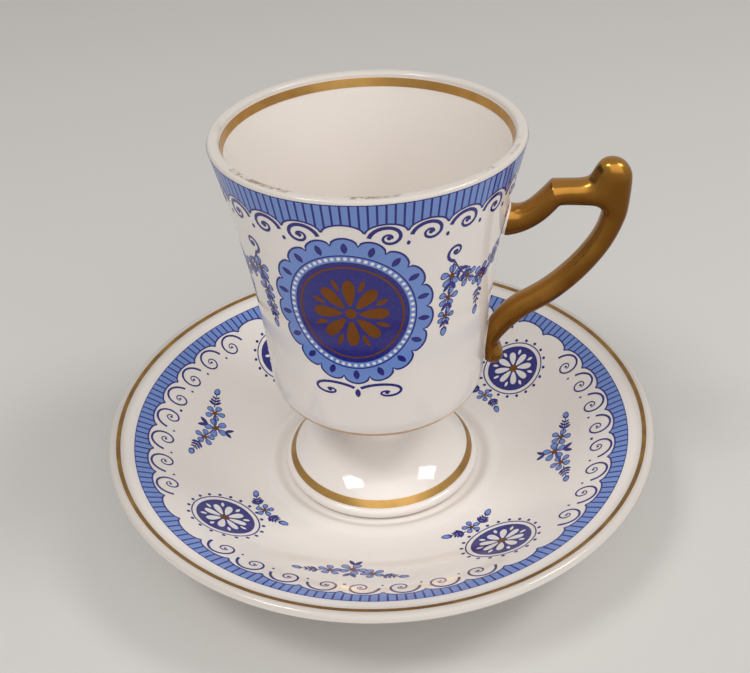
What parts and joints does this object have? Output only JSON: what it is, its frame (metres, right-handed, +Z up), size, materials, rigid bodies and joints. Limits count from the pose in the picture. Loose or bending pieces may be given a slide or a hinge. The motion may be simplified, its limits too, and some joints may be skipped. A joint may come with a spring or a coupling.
{
  "type": "espresso cup and saucer",
  "caption": "Tall footed espresso cup with a flared bowl and a scrolled loop handle, standing in a round saucer with a locating well.",
  "frame": {"origin": "on the table, under the common axis of the cup and saucer", "axes": "+Z up along the cup's axis, +X towards the handle, -Y towards the decorated front"},
  "size_m": [0.12, 0.12, 0.0871],
  "materials": {
    "glazed_porcelain": "gloss white glaze with blue printed bands and thin gilt lines",
    "gilding": "burnished antique gold over glazed porcelain"
  },
  "bodies": {
    "saucer": {"saucer": "glazed_porcelain"},
    "cup": {"cup_bowl": "glazed_porcelain", "cup_foot": "glazed_porcelain", "cup_handle": "gilding"}
  },
  "joints": [
    {"name": "cup_lift", "type": "slide", "parent": "saucer", "child": "cup", "axis": [0, 0, 1], "range_m": [0, 0.12]}
  ]
}
